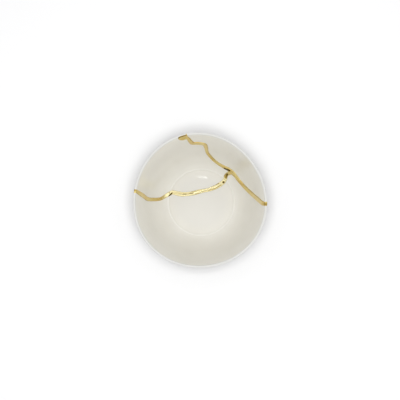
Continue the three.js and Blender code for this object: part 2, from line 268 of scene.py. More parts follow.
# Brightness of the studio's lights, with white paper as 1
ROOM_GLOW = 0.76
CEILING_GLOW = 0.85
PANEL_GLOW = 1.55  # a panel across the back of the ceiling
GAP_GLOW = 1.0  # the strip in front of it
FRONT_GLOW = 1.06  # the front of the room
SOFTBOX_POWER = 4.0  # watts for a square metre of softbox with a glow of 1

# Where the sky's parts begin and end, on the axes of a direction's unit vector
CEILING_UP = (0.45, 0.65)
PANEL_BACK = (0.0, 0.09)
PANEL_UP = (0.55, 0.75)
PANEL_SIDE = (0.6, 0.8)
GAP_START = (-0.28, -0.2)
GAP_END = (0.0, 0.06)
GAP_UP = (0.5, 0.7)
GAP_SIDE = (0.2, 0.3)
FRONT_BACK = (-0.1, -0.5)
FRONT_UP = (0.0, 0.3)

# Two soft windows: the way to each, the cosines of the angles where its light begins and is full,
# and its glow
LEFT_WINDOW = ((-0.8, 0.2, 0.57), (0.9, 0.99), 1.25)
RIGHT_WINDOW = ((0.69, -0.13, 0.71), (0.945, 0.985), 1.32)

# The lamps: place, size and glow
OVERHEAD = ((0.3, -0.35, 1.85), (0.5, 0.5), 7.5)
TABLE_LAMP = ((0.03, -0.05, 1.1), (0.3, 0.3), 40.0)
STRIP_LAMP = ((-0.049, -0.071, 1.5), (0.045, 0.008), 5.0)


def along(angle, length):
    return np.array([math.cos(angle), math.sin(angle)]) * length


def unit(rows):
    return rows / np.linalg.norm(rows, axis=-1, keepdims=True)


def arc_lengths(points):
    steps = np.linalg.norm(np.diff(points, axis=0), axis=1)
    return np.concatenate([[0.0], np.cumsum(steps)])


def bezier(controls, count):
    """Points of the Bezier curve with these control points."""
    t = np.linspace(0, 1, count)[:, None]
    level = [np.asarray(control, float) for control in controls]
    while len(level) > 1:
        level = [a + (b - a) * t for a, b in zip(level, level[1:])]
    return level[0]


# The bowl's section

LIP_CENTRE = np.array([RIM_RADIUS - LIP_WALL / 2, HEIGHT - LIP_WALL / 2])


def inside_profile():
    """Radius and height from the middle of the well to the inner edge of the lip."""
    inner_lip = LIP_CENTRE - along(WALL_ARRIVES - math.pi / 2, LIP_WALL / 2)
    floor_edge = np.array([WELL_RADIUS - WELL_TURN, FLOOR_Z + FLOOR_DISH])
    crest = np.array([WELL_RADIUS, FLOOR_Z + FLOOR_DISH + WELL_STEP])
    turn = np.array([WELL_RADIUS - WELL_TURN / 4, floor_edge[1]])
    below_crest = crest - unit(crest - turn) * STEP_ROUNDING
    above_crest = crest + along(WALL_LEAVES, STEP_ROUNDING)
    belly = crest + along(WALL_LEAVES, WALL_BELLY)
    rise = inner_lip - along(WALL_ARRIVES, WALL_RISE)
    return np.concatenate([
        bezier([(0, FLOOR_Z), (floor_edge[0] / 2, FLOOR_Z), floor_edge], FLOOR_POINTS),
        bezier([floor_edge, turn, below_crest], TURN_POINTS)[1:],
        bezier([below_crest, crest, above_crest], CREST_POINTS)[1:],
        bezier([above_crest, belly, rise, inner_lip], WALL_POINTS)[1:],
    ])


def outside_at(inside, arcs):
    """Points of the face behind the inside. The wall thins from the floor to the lip."""
    lip_arc = arc_lengths(inside)[-1]
    far_side = inside[:0:-1] * (-1, 1)
    past_lip = inside[-1] + along(WALL_ARRIVES, LEAN_SPAN)
    run = np.concatenate([far_side, inside, [past_lip]])
    places = arc_lengths(run) - lip_arc

    def place(arc):
        return np.stack([np.interp(arc, places, run[:, k]) for k in (0, 1)], axis=-1)

    lean = unit(place(arcs + LEAN_SPAN) - place(arcs - LEAN_SPAN))
    thickness = np.interp(arcs, [0, lip_arc], [BASE_WALL, LIP_WALL])
    behind = np.stack([lean[:, 1], -lean[:, 0]], axis=1)
    return place(arcs) + behind * thickness[:, None]


class Skin:
    """The bowl's surface, by distance round its section from the middle of the well, and azimuth."""

    def __init__(self):
        inside = inside_profile()
        lip_arc = arc_lengths(inside)[-1]
        well_arc = np.interp(WELL_RADIUS, inside[:, 0], arc_lengths(inside))
        foot_inner = FOOT_RADIUS - FOOT_WIDTH
        base_arc = foot_inner - FOOT_TAPER - FOOT_BLEND
        sweep = np.linspace(WALL_ARRIVES + math.pi / 2, WALL_ARRIVES - math.pi / 2, LIP_POINTS)
        lip = LIP_CENTRE + np.stack([np.cos(sweep), np.sin(sweep)], axis=1) * LIP_WALL / 2
        outside = outside_at(inside, np.linspace(lip_arc, well_arc, OUTSIDE_POINTS))
        underside = outside_at(inside, np.linspace(base_arc, 0, BASE_POINTS))
        shoulder = outside[-1]
        base_edge = underside[0]
        outer_root = (FOOT_RADIUS + FOOT_TAPER / 2, shoulder[1] - FOOT_BLEND - FOOT_TAPER)
        outer_hollow = (FOOT_RADIUS + FOOT_TAPER, shoulder[1] - FOOT_TAPER)
        outer_edge = [(FOOT_RADIUS, FOOT_EDGE), (FOOT_RADIUS, 0), (FOOT_RADIUS - FOOT_EDGE, 0)]
        inner_edge = [(foot_inner + FOOT_EDGE, 0), (foot_inner, 0), (foot_inner, FOOT_EDGE)]
        inner_root = (foot_inner - FOOT_TAPER / 2, base_edge[1] - FOOT_BLEND)
        inner_hollow = (foot_inner - FOOT_TAPER, base_edge[1])
        runs = [
            inside,
            lip[1:],
            outside[1:],
            bezier([shoulder, outer_hollow, outer_root], ROOT_POINTS)[1:],
            bezier([outer_root, outer_edge[0]], FOOT_POINTS)[1:-1],
            bezier(outer_edge, FOOT_POINTS),
            bezier([outer_edge[2], inner_edge[0]], FOOT_POINTS)[1:-1],
            bezier(inner_edge, FOOT_POINTS),
            bezier([inner_edge[2], inner_root], FOOT_INNER_POINTS)[1:-1],
            bezier([inner_root, inner_hollow, base_edge], ROOT_POINTS),
            underside[1:],
        ]
        self.profile = np.concatenate(runs)
        self.arcs = arc_lengths(self.profile)
        ends = self.arcs[np.cumsum([len(run) for run in runs]) - 1]
        self.inner_lip, self.outer_lip, self.shoulder = ends[:3]
        self.base_edge = ends[-2]
        self.well_arc = well_arc
        self.base_arc = base_arc
        self.inside_count = len(inside)

    def section(self, arc):
        return np.stack([np.interp(arc, self.arcs, self.profile[:, k]) for k in (0, 1)], axis=-1)

    def out_of_true(self, azimuth, height):
        """How much wider the bowl is there than a true circle."""
        oval = OVAL * np.cos(2 * (azimuth - OVAL_AZIMUTH))
        lobes = LOBES * np.cos(3 * (azimuth - LOBE_AZIMUTH))
        return 1 + (oval + lobes) / RIM_RADIUS * (height / HEIGHT) ** 2

    def place(self, arc, azimuth):
        radius, height = np.moveaxis(self.section(arc), -1, 0)
        radius = radius * self.out_of_true(azimuth, height)
        return np.stack([radius * np.cos(azimuth), radius * np.sin(azimuth), height], axis=-1)

    def outward(self, arc, azimuth):
        """The direction out of the surface there."""
        slope = unit(self.section(arc + NORMAL_SPAN) - self.section(arc - NORMAL_SPAN))
        level = -slope[..., 1]
        return np.stack([level * np.cos(azimuth), level * np.sin(azimuth), slope[..., 0]], axis=-1)

    def seen_from_above(self, x, y):
        """The place inside the bowl that shows at x, y from above."""
        azimuth = np.arctan2(y, x)
        seen = np.hypot(x, y)
        inside = self.profile[: self.inside_count]
        radius = seen
        for _ in range(SIGHT_ROUNDS):
            height = np.interp(radius, inside[:, 0], inside[:, 1])
            radius = seen / self.out_of_true(azimuth, height)
        return np.interp(radius, inside[:, 0], self.arcs[: self.inside_count]), azimuth

    def behind(self, arc):
        """The place outside that lies behind a place inside, round the foot ring too."""
        inside = [0, self.base_arc, self.well_arc, self.inner_lip]
        outside = [self.arcs[-1], self.base_edge, self.shoulder, self.outer_lip]
        return np.interp(arc, inside, outside)


skin = Skin()


# Node trees

def feed(tree, node, feeds):
    """Links a node's inputs to sockets, or sets them to values."""
    for key, value in feeds.items():
        if isinstance(value, bpy.types.NodeSocket):
            tree.links.new(value, node.inputs[key])
        else:
            node.inputs[key].default_value = value


def add_node(tree, kind, feeds=None, **settings):
    node = tree.nodes.new(kind)
    for name, value in settings.items():
        setattr(node, name, value)
    feed(tree, node, feeds or {})
    return node


def first_of(tree, kind, feeds=None, **settings):
    """The first output of a new node."""
    return add_node(tree, kind, feeds, **settings).outputs[0]


def worked_out(tree, operation, *terms):
    return first_of(tree, "ShaderNodeMath", dict(enumerate(terms)), operation=operation)


def times(tree, first, *others):
    for other in others:
        first = worked_out(tree, "MULTIPLY", first, other)
    return first


def plus(tree, first, *others):
    for other in others:
        first = worked_out(tree, "ADD", first, other)
    return first


def together(tree, first, second):
    """The sum of two vectors."""
    return first_of(tree, "ShaderNodeVectorMath", {0: first, 1: second}, operation="ADD")


def scaled(tree, vector, factor):
    feeds = {"Vector": vector, "Scale": factor}
    return first_of(tree, "ShaderNodeVectorMath", feeds, operation="SCALE")


def between(tree, value, low, high, start=0.0, end=1.0):
    """The value's way from low to high, eased, as a number from start to end."""
    feeds = {"Value": value, "From Min": low, "From Max": high, "To Min": start, "To Max": end}
    return first_of(tree, "ShaderNodeMapRange", feeds, interpolation_type="SMOOTHSTEP")


def new_tree(name, count, sizes):
    """A geometry tree with inputs for a count, for sizes and for the finish, and its group sockets."""
    tree = bpy.data.node_groups.new(name, "GeometryNodeTree")
    inputs = {"Geometry": "Geometry", count: "Int", **dict.fromkeys(sizes, "Float"), "Finish": "Material"}
    for label, kind in inputs.items():
        tree.interface.new_socket(label, in_out="INPUT", socket_type="NodeSocket" + kind)
    tree.interface.new_socket("Geometry", in_out="OUTPUT", socket_type="NodeSocketGeometry")
    return tree, tree.nodes.new("NodeGroupInput").outputs, tree.nodes.new("NodeGroupOutput").inputs


def finish_tree(tree, geometry, finish, end):
    realized = first_of(tree, "GeometryNodeRealizeInstances", {"Geometry": geometry})
    feeds = {"Geometry": realized, "Material": finish}
    tree.links.new(first_of(tree, "GeometryNodeSetMaterial", feeds), end["Geometry"])


def attribute(tree, name, data_type="FLOAT"):
    return first_of(tree, "GeometryNodeInputNamedAttribute", {"Name": name}, data_type=data_type)


def captured(tree, geometry, **fields):
    """The geometry, and fields kept as they are at this point of the tree."""
    kinds = {"VALUE": "FLOAT", "VECTOR": "VECTOR"}
    node = tree.nodes.new("GeometryNodeCaptureAttribute")
    tree.links.new(geometry, node.inputs["Geometry"])
    for label, field in fields.items():
        node.capture_items.new(kinds[field.type], label)
        tree.links.new(field, node.inputs[label])
    return node.outputs["Geometry"], [node.outputs[label] for label in fields]


def polyline(name, points, **attributes):
    """A mesh of edges through the points, with values for each point."""
    edges = [(k, k + 1) for k in range(len(points) - 1)]
    mesh = bpy.data.meshes.new(name)
    mesh.from_pydata([tuple(point) for point in points], edges, [])
    for label, values in attributes.items():
        kind, field = ("FLOAT", "value") if np.ndim(values) == 1 else ("FLOAT_VECTOR", "vector")
        data = mesh.attributes.new(label, kind, "POINT").data
        data.foreach_set(field, np.ravel(values).astype(np.float32))
    return mesh


def show(name, data):
    piece = bpy.data.objects.new(name, data)
    bpy.context.scene.collection.objects.link(piece)
    return piece


def grown(name, mesh, tree, values):
    """The plain mesh that a tree grows from a mesh, with the tree's inputs set by name."""
    piece = show(name, mesh)
    modifier = piece.modifiers.new(tree.name, "NODES")
    modifier.node_group = tree
    for item in tree.interface.items_tree:
        if item.in_out == "INPUT" and item.name in values:
            modifier[item.identifier] = values[item.name]
    result = plain_mesh(piece)
    bpy.data.objects.remove(piece)
    return result


def plain_mesh(piece):
    depsgraph = bpy.context.evaluated_depsgraph_get()
    return bpy.data.meshes.new_from_object(piece.evaluated_get(depsgraph), depsgraph=depsgraph)


def turn_at(tree, count):
    """The angle of each point of a circle that has this many."""
    index = first_of(tree, "GeometryNodeInputIndex")
    return times(tree, worked_out(tree, "DIVIDE", index, count), math.tau)


def throwing_tree():
    """Turns a section, given as reach from the axis and height on each point, into the bowl."""
    tree, given, end = new_tree("throw_bowl", "Segments", [
        "Rim radius", "Height", "Oval", "Oval azimuth", "Lobes", "Lobe azimuth",
        "Unevenness", "Wave size", "Seed",
    ])
    section = first_of(tree, "GeometryNodeMeshToCurve", {"Mesh": given["Geometry"]})
    circle_feeds = {"Resolution": given["Segments"], "Radius": given["Rim radius"]}
    circle = first_of(tree, "GeometryNodeCurvePrimitiveCircle", circle_feeds)
    circle, (azimuth,) = captured(tree, circle, azimuth=turn_at(tree, given["Segments"]))
    swept_feeds = {"Curve": circle, "Profile Curve": section}
    swept = first_of(tree, "GeometryNodeCurveToMesh", swept_feeds)

    def lobes(size, count, start):
        angle = times(tree, worked_out(tree, "SUBTRACT", azimuth, start), count)
        return times(tree, worked_out(tree, "COSINE", angle), size)

    height = attribute(tree, "height")
    swell = plus(tree, lobes(given["Oval"], 2.0, given["Oval azimuth"]),
                 lobes(given["Lobes"], 3.0, given["Lobe azimuth"]))
    share = worked_out(tree, "POWER", worked_out(tree, "DIVIDE", height, given["Height"]), 2.0)
    widening = times(tree, worked_out(tree, "DIVIDE", swell, given["Rim radius"]), share)
    radius = times(tree, attribute(tree, "reach"), plus(tree, widening, 1.0))
    placed = first_of(tree, "ShaderNodeCombineXYZ", {
        "X": times(tree, radius, worked_out(tree, "COSINE", azimuth)),
        "Y": times(tree, radius, worked_out(tree, "SINE", azimuth)),
        "Z": height,
    })
    turned = first_of(tree, "GeometryNodeSetPosition", {"Geometry": swept, "Position": placed})
    closing_feeds = {"Geometry": turned, "Distance": AXIS_WELD}
    closed = first_of(tree, "GeometryNodeMergeByDistance", closing_feeds)
    waves = first_of(tree, "ShaderNodeTexNoise", {
        "Vector": first_of(tree, "GeometryNodeInputPosition"), "W": given["Seed"],
        "Scale": worked_out(tree, "DIVIDE", 1.0, given["Wave size"]), "Detail": SOFT,
    }, noise_dimensions="4D")
    waves_feeds = {"Value": height, "From Min": WAVES_START, "From Max": WAVES_FULL}
    above_foot = first_of(tree, "ShaderNodeMapRange", waves_feeds)
    wave = times(tree, worked_out(tree, "SUBTRACT", waves, 0.5), given["Unevenness"], above_foot)
    shift = scaled(tree, first_of(tree, "GeometryNodeInputNormal"), wave)
    waved = first_of(tree, "GeometryNodeSetPosition", {"Geometry": closed, "Offset": shift})
    finish_tree(tree, waved, given["Finish"], end)
    return tree


def bead_tree():
    """Lays a bead of lacquer along a route.

    The route's points know their outward and sideways directions, half width and fullness.
    """
    tree, given, end = new_tree("lay_bead", "Sides", [
        "Step", "Rise", "Buried", "Strand depth", "Strand length", "Edge wander", "Wander length",
        "Seed",
    ])
    route = first_of(tree, "GeometryNodeMeshToCurve", {"Mesh": given["Geometry"]})
    route_feeds = {"Curve": route, "Length": given["Step"]}
    route = first_of(tree, "GeometryNodeResampleCurve", route_feeds, mode="LENGTH")
    spot = first_of(tree, "GeometryNodeInputPosition")
    length = add_node(tree, "GeometryNodeSplineParameter").outputs["Length"]
    route, (centre, travelled) = captured(tree, route, centre=spot, travelled=length)
    ring_feeds = {"Resolution": given["Sides"], "Radius": given["Rise"]}
    ring = first_of(tree, "GeometryNodeCurvePrimitiveCircle", ring_feeds)
    ring, (angle,) = captured(tree, ring, angle=turn_at(tree, given["Sides"]))
    tube_feeds = {"Curve": route, "Profile Curve": ring, "Fill Caps": True}
    tube = first_of(tree, "GeometryNodeCurveToMesh", tube_feeds)

    across = worked_out(tree, "COSINE", angle)
    up = worked_out(tree, "SINE", angle)
    crown = worked_out(tree, "MAXIMUM", up, 0.0)
    root = worked_out(tree, "MINIMUM", up, 0.0)

    def noise_at(run, lane):
        """Noise from -1 to 1 along the bead, in a lane of its own."""
        way = worked_out(tree, "DIVIDE", travelled, run)
        where = first_of(tree, "ShaderNodeCombineXYZ", {"X": way, "Y": lane})
        feeds = {"Vector": where, "W": given["Seed"], "Scale": 1.0, "Detail": SOFT}
        value = first_of(tree, "ShaderNodeTexNoise", feeds, noise_dimensions="4D")
        return times(tree, worked_out(tree, "SUBTRACT", value, 0.5), 2.0)

    edge_lane = times(tree, worked_out(tree, "SIGN", across), EDGE_LANE)
    stray = times(tree, noise_at(given["Wander length"], edge_lane), given["Edge wander"])
    reach = times(tree, attribute(tree, "half_width"), plus(tree, stray, 1.0))
    strand_lane = plus(tree, times(tree, across, STRANDS), STRAND_LANE)
    strand = noise_at(given["Strand length"], strand_lane)
    strand = times(tree, strand, given["Strand depth"], crown)
    shoulder = between(tree, crown, *BEAD_SHOULDER)
    domed = times(tree, shoulder, given["Rise"], attribute(tree, "fullness"))
    level = plus(tree, domed, times(tree, root, given["Buried"]), strand)
    sideways = attribute(tree, "sideways", "FLOAT_VECTOR")
    outward = attribute(tree, "outward", "FLOAT_VECTOR")
    sideways = scaled(tree, sideways, times(tree, across, reach))
    outward = scaled(tree, outward, level)
    placed = together(tree, centre, together(tree, sideways, outward))
    bead = first_of(tree, "GeometryNodeSetPosition", {"Geometry": tube, "Position": placed})
    finish_tree(tree, bead, given["Finish"], end)
    return tree


# Mesh work

def outward_faces(mesh):
    """The mesh with its doubles merged and its faces turned outwards."""
    work = bmesh.new()
    work.from_mesh(mesh)
    bmesh.ops.remove_doubles(work, verts=work.verts, dist=WELD)
    bmesh.ops.recalc_face_normals(work, faces=work.faces)
    work.to_mesh(mesh)
    work.free()
    return mesh


def closed_mesh(name, rings):
    """A solid through closed rings of points, with a cap at each end."""
    count = len(rings[0])
    points = [tuple(point) for ring in rings for point in ring]
    faces = [tuple(range(count)), tuple(range(len(points) - count, len(points)))]
    for start in range(0, len(points) - count, count):
        for k in range(count):
            after = (k + 1) % count
            faces.append((start + k, start + after, start + count + after, start + count + k))
    mesh = bpy.data.meshes.new(name)
    mesh.from_pydata(points, [], faces)
    return outward_faces(mesh)


def corners_of(mesh):
    points = np.zeros(len(mesh.vertices) * 3)
    mesh.vertices.foreach_get("co", points)
    return points.reshape(-1, 3)


def triangles_of(mesh):
    """The places of a mesh's corners, and its faces as triangles."""
    mesh.calc_loop_triangles()
    faces = np.zeros(len(mesh.loop_triangles) * 3, np.int32)
    mesh.loop_triangles.foreach_get("vertices", faces)
    return corners_of(mesh), faces.reshape(-1, 3)


def triangle_mesh(points, faces, source):
    """A mesh of triangles, without unused corners and with the finish of its source."""
    used, corners = np.unique(faces, return_inverse=True)
    mesh = bpy.data.meshes.new(source.name)
    mesh.from_pydata(points[used].tolist(), [], corners.reshape(-1, 3).tolist())
    for finish in source.materials:
        mesh.materials.append(finish)
    return mesh


def welded(mesh):
    """The mesh in triangles, without corners that share a place or faces that lie back to back."""
    points, faces = triangles_of(mesh)
    cells = np.round(points / WELD).astype(np.int64)
    first, place = np.unique(cells, axis=0, return_index=True, return_inverse=True)[1:]
    faces = place.reshape(-1)[faces]
    faces = faces[np.all(faces != np.roll(faces, 1, axis=1), axis=1)]
    order = np.argsort(faces, axis=1)
    in_order = np.take_along_axis(faces, order, axis=1)
    group = np.unique(in_order, axis=0, return_inverse=True)[1].reshape(-1)
    way = np.where((order[:, 1] - order[:, 0]) % 3 == 1, 1, -1)
    balance = np.bincount(group, weights=way)
    return triangle_mesh(points[first], faces[balance[group] * way > 0], mesh)


def combined(mesh, others, operation):
    """The mesh joined with or cut by the others."""
    piece = show("work", mesh)
    helpers = [show("helper", other) for other in others]
    for helper in helpers:
        modifier = piece.modifiers.new("combine", "BOOLEAN")
        modifier.operation = operation
        modifier.solver = "MANIFOLD"
        modifier.object = helper
    result = plain_mesh(piece)
    for scratch in [piece, *helpers]:
        bpy.data.objects.remove(scratch)
    return welded(result)


def loose_parts(mesh):
    """The separate closed shells of a mesh, each as a mesh of its own."""
    points, faces = triangles_of(mesh)
    shell = np.arange(len(points))
    settled = False
    while not settled:
        before = shell.copy()
        np.minimum.at(shell, faces, before[faces].min(axis=1, keepdims=True))
        shell = shell[shell]
        settled = np.array_equal(shell, before)
    shell = shell[faces[:, 0]]
    return [triangle_mesh(points, faces[shell == number], mesh) for number in np.unique(shell)]


def smooth(mesh, crease):
    """Smooth shading, with edges sharper than the crease angle kept sharp."""
    mesh.shade_smooth()
    work = bmesh.new()
    work.from_mesh(mesh)
    for edge in work.edges:
        edge.smooth = edge.calc_face_angle(0.0) < crease
    work.to_mesh(mesh)
    work.free()


# The seam's routes

def evened(values, length):
    """Values along a route with their changes spread over a length."""
    reach = int(EVENING_TAIL * length / ROUTE_STEP)
    weights = np.exp(-0.5 * (np.arange(-reach, reach + 1) * ROUTE_STEP / length) ** 2)
    padded = np.pad(values, reach, mode="reflect", reflect_type="odd")
    return np.convolve(padded, weights / weights.sum(), mode="valid")


def brushed(points):
    """Evenly spaced places along a drawn line, with its corners softened."""
    points = np.array(points, float) * MM
    at = arc_lengths(points[:, :2])
    even = np.linspace(0, at[-1], int(at[-1] / ROUTE_STEP))
    columns = [evened(np.interp(even, at, column), CORNER_SOFTENING) for column in points.T]
    return np.stack(columns, axis=1)


class Seam:
    """One line of the break, from the junction up to the lip inside, and back down the outside.

    At the lip the bead keeps only a part of its rise, lip_fullness, and of its width, lip_width.
    """

    def __init__(self, name, drawn, lip_fullness, lip_width):
        self.name = name
        self.lip_fullness = lip_fullness
        self.lip_width = lip_width
        line = brushed(drawn)
        arc, azimuth = skin.seen_from_above(line[:, 0], line[:, 1])
        below_lip = arc < skin.inner_lip - ROUTE_STEP
        self.arc = arc[below_lip]
        self.azimuth = azimuth[below_lip]
        self.shown_width = line[below_lip, 2]
        self.outer_arc = evened(skin.behind(self.arc), OUTSIDE_EASING)
        self.outer_azimuth = evened(self.azimuth, OUTSIDE_EASING)

    def bead_route(self):
        """The bead's route round the wall, with its directions and half widths."""
        over_lip = np.linspace(skin.inner_lip, skin.outer_lip, LIP_STEPS)
        arc = np.concatenate([self.arc, over_lip, self.outer_arc[::-1]])
        at_lip = np.full(LIP_STEPS, self.azimuth[-1])
        azimuth = np.concatenate([self.azimuth, at_lip, self.outer_azimuth[::-1]])
        inside = self.true_width()
        at_lip = np.full(LIP_STEPS, inside[-1])
        width = np.concatenate([inside, at_lip, inside[::-1] * OUTSIDE_WIDTH])
        places = skin.place(arc, azimuth)
        outward = skin.outward(arc, azimuth)
        heading = unit(np.gradient(places, axis=0))
        sideways = unit(np.cross(outward, heading))
        from_lip = np.maximum(skin.inner_lip - arc, arc - skin.outer_lip)
        fullness = np.interp(from_lip, [0, LIP_FADE], [self.lip_fullness, 1])
        width = width * np.interp(from_lip, [0, LIP_FADE], [self.lip_width, 1])
        return polyline(self.name, places, outward=outward, sideways=sideways, half_width=width / 2,
                        fullness=fullness)

    def true_width(self):
        """The bead's width on the wall, which leans and so shows it narrower from above."""
        places = skin.place(self.arc, self.azimuth)
        heading = np.gradient(places, axis=0)
        sideways = unit(np.cross(skin.outward(self.arc, self.azimuth), unit(heading)))
        across = unit(heading[:, 1::-1] * (1, -1))
        shown = np.abs(np.sum(sideways[:, :2] * across, axis=1))
        return evened(self.shown_width / np.maximum(shown, LEAST_SHOWN), WIDTH_EVENING)

    def joint(self, thickness, past_faces, past_lip):
        """A sheet through the wall along the break, running past the wall's faces and past the lip."""
        inner = skin.place(self.arc, self.azimuth)
        outer = skin.place(self.outer_arc, self.outer_azimuth)
        near = inner + skin.outward(self.arc, self.azimuth) * past_faces
        far = outer + skin.outward(self.outer_arc, self.outer_azimuth) * past_faces
        lap = unit(inner[0] - inner[1]) * JUNCTION_LAP
        rise = unit(inner[-1] - inner[-2]) * past_lip
        inner, outer, near, far = (
            np.concatenate([[run[0] + lap], run, [run[-1] + rise]]) for run in (inner, outer, near, far)
        )
        heading = unit(np.gradient(inner, axis=0))
        side = unit(np.cross(inner - outer, heading)) * thickness / 2
        rings = np.stack([near - side, near + side, far + side, far - side], axis=1)
        return closed_mesh(self.name, rings)


seams = [
    Seam("top_seam", TOP_SEAM, lip_fullness=0.0, lip_width=0.35),
    Seam("right_seam", RIGHT_SEAM, lip_fullness=0.15, lip_width=0.9),
    Seam("left_seam", LEFT_SEAM, lip_fullness=0.15, lip_width=0.9),
]


def chip_solid(name, inset, proud):
    """The lip where it is chipped, drawn in by inset.

    proud gives how far a place stands out of the wall's face, from its distance to the chip's edge
    and from how near it is to the lip's crest.
    """
    azimuth, depth, over = np.array(CHIP)[::-1].T
    azimuth = np.radians(azimuth)
    rim = RIM_RADIUS - LIP_WALL / 2
    columns = np.linspace(azimuth[0] + inset / rim, azimuth[-1] - inset / rim, CHIP_COLUMNS)
    starts = skin.inner_lip - np.interp(columns, azimuth, depth * MM) + inset
    ends = skin.inner_lip + np.interp(columns, azimuth, over * MM) - inset
    rings = []
    for column, start, end in zip(columns, starts, np.maximum(ends, starts + CHIP_LEAST)):
        arc = np.linspace(start, end, CHIP_ROWS)
        turn = np.full(CHIP_ROWS, column)
        from_foot = np.minimum(arc - arc[0], arc[-1] - arc)
        from_side = rim * min(column - columns[0], columns[-1] - column)
        up_lip = np.clip((arc - skin.inner_lip) / (skin.outer_lip - skin.inner_lip), 0, 1)
        lift = proud(np.minimum(from_foot, from_side), np.sin(math.pi * up_lip))
        wall = skin.place(arc, turn)
        outward = skin.outward(arc, turn)
        core = wall - outward * CHIP_BED
        rings.append(np.concatenate([wall + outward * lift[:, None], core[::-1]]))
    return closed_mesh(name, rings)


def filled_chip(edge, on_lip):
    return CHIP_RISE * np.sqrt(np.clip(edge / CHIP_EDGE, 0, 1)) - CHIP_SUNK - CHIP_DIP * on_lip


def whole_chip(edge, on_lip):
    return np.full(len(edge), CHIP_CLEAR)


# Finishes

def new_finish(name):
    finish = bpy.data.materials.new(name)
    finish.use_nodes = True
    tree = finish.node_tree
    return finish, tree, tree.nodes["Principled BSDF"]


def own_place(tree):
    return add_node(tree, "ShaderNodeTexCoord").outputs["Object"]


def spotted(tree, size, detail=USUAL):
    """Noise of a size in metres, from 0 to 1."""
    feeds = {"Vector": own_place(tree), "Scale": 1 / size, "Detail": detail}
    return first_of(tree, "ShaderNodeTexNoise", feeds)


def bumped(tree, height, strength, **under):
    """The surface's direction, with bumps of a height laid over what is under them."""
    feeds = {"Height": height, "Strength": strength, "Distance": BUMP_HEIGHT, **under}
    return first_of(tree, "ShaderNodeBump", feeds)


def mixed(tree, share, first, second):
    """Two colours mixed by a share of the second."""
    feeds = {0: share, 6: first, 7: second}
    return add_node(tree, "ShaderNodeMix", feeds, data_type="RGBA").outputs[2]


def band(tree, value, rise, fall):
    """1 between two eased edges, each from a low to a high value, and 0 outside them."""
    return times(tree, between(tree, value, *rise), between(tree, value, *fall, 1.0, 0.0))


def by_ring(edges):
    """Radii of edges that are given in millimetres out from the ring round the well."""
    return [(WELL_RADIUS + low * MM, WELL_RADIUS + high * MM) for low, high in edges]


def glaze_finish():
    """Warm white glaze: a little cloudy, wiped off the foot, with painted shade in the hollow round the
    well, on the well's floor and on the lip, and a painted highlight on the ring's crest.
    """
    finish, tree, shader = new_finish("warm_white_glaze")
    axis = add_node(tree, "ShaderNodeSeparateXYZ", {"Vector": own_place(tree)}).outputs
    height = axis["Z"]
    flat = first_of(tree, "ShaderNodeCombineXYZ", {"X": axis["X"], "Y": axis["Y"]})
    radius = add_node(tree, "ShaderNodeVectorMath", {0: flat}, operation="LENGTH").outputs["Value"]
    inside = between(tree, height, *RING_INSIDE)

    clouds = between(tree, spotted(tree, GLAZE_CLOUDS, FINE), *NOISE_SPAN)
    colour = mixed(tree, clouds, *GLAZE_TONES)
    # Painted shade in the hollow at the foot of the well's step
    recess_shade = times(tree, band(tree, radius, *by_ring(RECESS_SHADE_EDGES)), inside, RECESS_SHADE_SHARE)
    colour = mixed(tree, recess_shade, colour, RECESS_SHADE)
    # Painted shade on the well's floor
    well_shade = times(tree, between(tree, radius, *WELL_SHADE_EDGE, WELL_SHADE_SHARE, 0.0),
                    between(tree, height, *WELL_INSIDE))
    colour = mixed(tree, well_shade, colour, SHADED_WELL_TONE)
    # Painted highlight on the crest of the ring round the well
    crest = times(tree, band(tree, radius, *by_ring(LIT_CREST_EDGES)), inside, LIT_CREST_SHARE)
    colour = mixed(tree, crest, colour, LIT_CREST)
    # Painted shade on the lip
    lip_shade = between(tree, height, *LIP_SHADE_EDGE, 0.0, LIP_SHADE_SHARE)
    colour = mixed(tree, lip_shade, colour, SHADED_LIP)

    wiped_to = plus(tree, height, times(tree, spotted(tree, WIPE_LENGTH), WIPE_WANDER))
    bare = between(tree, wiped_to, *WIPED_EDGE, 1.0, 0.0)
    grain = spotted(tree, BISCUIT_GRAIN, FINE)
    biscuit = mixed(tree, between(tree, grain, *GRAIN_SPAN), *BISCUIT_TONES)

    gloss = plus(tree, between(tree, spotted(tree, GLOSS_PATCHES), *NOISE_SPAN, *GLAZE_GLOSS),
                 between(tree, height, *DULLER_HEIGHTS, 0.0, DULLING))
    ripples = bumped(tree, spotted(tree, GLAZE_RIPPLES, SOFT), GLAZE_BUMP)
    feed(tree, shader, {
        "Base Color": mixed(tree, bare, colour, biscuit),
        "Roughness": first_of(tree, "ShaderNodeMix", {0: bare, 2: gloss, 3: BISCUIT_ROUGHNESS}),
        "Normal": bumped(tree, grain, times(tree, bare, BISCUIT_BUMP), Normal=ripples),
        "IOR": GLAZE_IOR,
    })
    return finish


